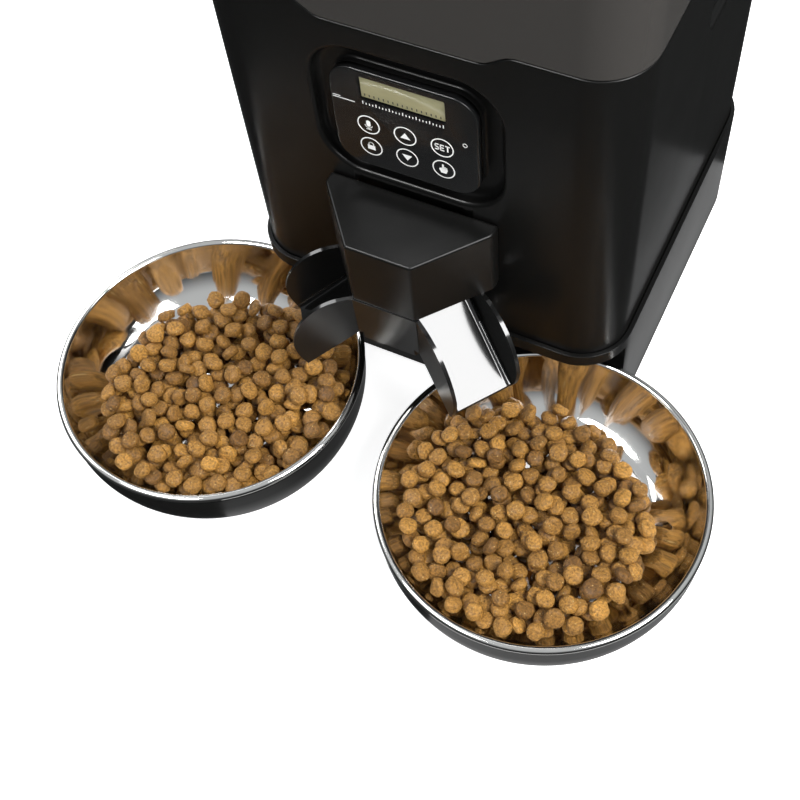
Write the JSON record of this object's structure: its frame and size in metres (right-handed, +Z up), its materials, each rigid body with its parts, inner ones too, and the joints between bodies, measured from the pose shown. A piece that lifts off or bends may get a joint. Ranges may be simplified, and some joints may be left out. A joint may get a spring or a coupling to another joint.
{
  "type": "automatic pet feeder",
  "caption": "Automatic pet feeder: a smoked hopper over a motor-driven rotor drops dry food down a two-way splitter into steel bowls in loose holders.",
  "frame": {"origin": "on the floor, at the middle of the whole set's footprint, feeder and both bowls together", "axes": "+Z up; -Y towards the bowls; +X to the right when facing the control panel"},
  "size_m": [0.322, 0.3294, 0.3133],
  "materials": {
    "satin_abs": "black ABS, satin, fine moulded grain",
    "gloss_panel": "black acrylic overlay, high gloss, white printed keys",
    "smoked_tank": "smoked translucent plastic, glossy",
    "lcd": "olive segment display, unlit",
    "circuit_board": "green solder mask",
    "white_abs": "natural white ABS or acetal",
    "grey_rotor": "pale grey food-safe plastic",
    "rubber": "black rubber, matte",
    "silicone": "grey silicone",
    "cell_wrap": "printed steel cell jacket, plain",
    "polished_steel": "mirror-polished stainless steel",
    "zinc_steel": "zinc-plated steel",
    "brass": "plain brass"
  },
  "bodies": {
    "housing": {"stand": "satin_abs", "base_plate": "satin_abs", "battery_bay": "satin_abs", "dc_inlet": "satin_abs", "battery_cell_1": "cell_wrap", "battery_cell_2": "cell_wrap", "battery_cell_3": "cell_wrap", "battery_contact_front": "zinc_steel", "battery_contact_rear": "zinc_steel", "base_screw_1": "zinc_steel", "base_screw_2": "zinc_steel", "base_screw_3": "zinc_steel", "base_screw_4": "zinc_steel", "foot_1": "rubber", "foot_2": "rubber", "foot_3": "rubber", "foot_4": "rubber", "main_housing": "satin_abs", "control_panel": "gloss_panel", "lcd_display": "lcd", "control_board": "circuit_board", "touch_pad_record": "rubber", "touch_pad_up": "rubber", "touch_pad_set": "rubber", "touch_pad_lock": "rubber", "touch_pad_down": "rubber", "touch_pad_feed": "rubber", "microphone": "zinc_steel", "speaker": "zinc_steel", "chassis_plate": "white_abs", "outlet_chute": "satin_abs", "gearbox_case": "white_abs", "gearbox_cover": "white_abs", "motor": "zinc_steel", "rotor_chamber": "satin_abs", "baffle_plate": "satin_abs", "splitter_hood": "satin_abs"},
    "battery_door": {"battery_door": "satin_abs"},
    "release_left": {"release_button_left": "satin_abs"},
    "release_right": {"release_button_right": "satin_abs"},
    "rotor": {"rotor": "grey_rotor", "agitator": "grey_rotor", "drive_gear": "white_abs", "drive_shaft": "zinc_steel"},
    "pinion": {"motor_pinion": "brass"},
    "splitter": {"splitter_tray": "satin_abs"},
    "hopper": {"hopper": "smoked_tank", "funnel": "satin_abs", "lid_hinge_pin_1": "zinc_steel", "lid_hinge_pin_2": "zinc_steel"},
    "lid": {"lid": "satin_abs", "lid_seal": "silicone", "desiccant_case": "satin_abs", "desiccant_bag": "white_abs"},
    "latch": {"lid_latch": "satin_abs"},
    "desiccant_cover": {"desiccant_cover": "satin_abs"},
    "holder_left": {"bowl_holder_left": "satin_abs"},
    "holder_right": {"bowl_holder_right": "satin_abs"},
    "bowl_left": {"bowl_left": "polished_steel"},
    "bowl_right": {"bowl_right": "polished_steel"}
  },
  "joints": [
    {"name": "rotor_spin", "type": "hinge", "parent": "housing", "child": "rotor", "pos_m": [0, 0.06225, 0.166], "axis": [0, 0, 1], "continuous": true},
    {"name": "pinion_spin", "type": "hinge", "parent": "housing", "child": "pinion", "pos_m": [0, 0.08975, 0.13], "axis": [0, 0, 1], "continuous": true},
    {"name": "hopper_lift", "type": "slide", "parent": "housing", "child": "hopper", "axis": [0, 0, 1], "range_m": [0, 0.08]},
    {"name": "lid_hinge", "type": "hinge", "parent": "hopper", "child": "lid", "pos_m": [0, 0.16075, 0.3], "axis": [-1, 0, 0], "range_deg": [0, 100]},
    {"name": "latch_swing", "type": "hinge", "parent": "lid", "child": "latch", "pos_m": [0, -0.02685, 0.3063], "axis": [-1, 0, 0], "range_deg": [0, 40]},
    {"name": "desiccant_twist", "type": "hinge", "parent": "lid", "child": "desiccant_cover", "pos_m": [0, 0.06525, 0.28], "axis": [0, 0, 1], "range_deg": [0, 35]},
    {"name": "release_press_left", "type": "slide", "parent": "housing", "child": "release_left", "axis": [1, 0, 0], "range_m": [0, 0.0025], "stiffness_N_per_m": 600},
    {"name": "release_press_right", "type": "slide", "parent": "housing", "child": "release_right", "axis": [-1, 0, 0], "range_m": [0, 0.0025], "stiffness_N_per_m": 600},
    {"name": "splitter_pull", "type": "slide", "parent": "housing", "child": "splitter", "axis": [0, -1, 0], "range_m": [0, 0.04]},
    {"name": "battery_door_slide", "type": "slide", "parent": "housing", "child": "battery_door", "axis": [0, 1, 0], "range_m": [0, 0.075]},
    {"name": "holder_slide_left", "type": "slide", "parent": "housing", "child": "holder_left", "axis": [0, -1, 0], "range_m": [0, 0.12]},
    {"name": "holder_slide_right", "type": "slide", "parent": "housing", "child": "holder_right", "axis": [0, -1, 0], "range_m": [0, 0.12]},
    {"name": "bowl_lift_left", "type": "slide", "parent": "holder_left", "child": "bowl_left", "axis": [0, 0, 1], "range_m": [0, 0.008]},
    {"name": "bowl_lift_right", "type": "slide", "parent": "holder_right", "child": "bowl_right", "axis": [0, 0, 1], "range_m": [0, 0.008]}
  ],
  "couplings": [
    {"joint": "pinion_spin", "follows": "rotor_spin", "ratio": -4}
  ]
}
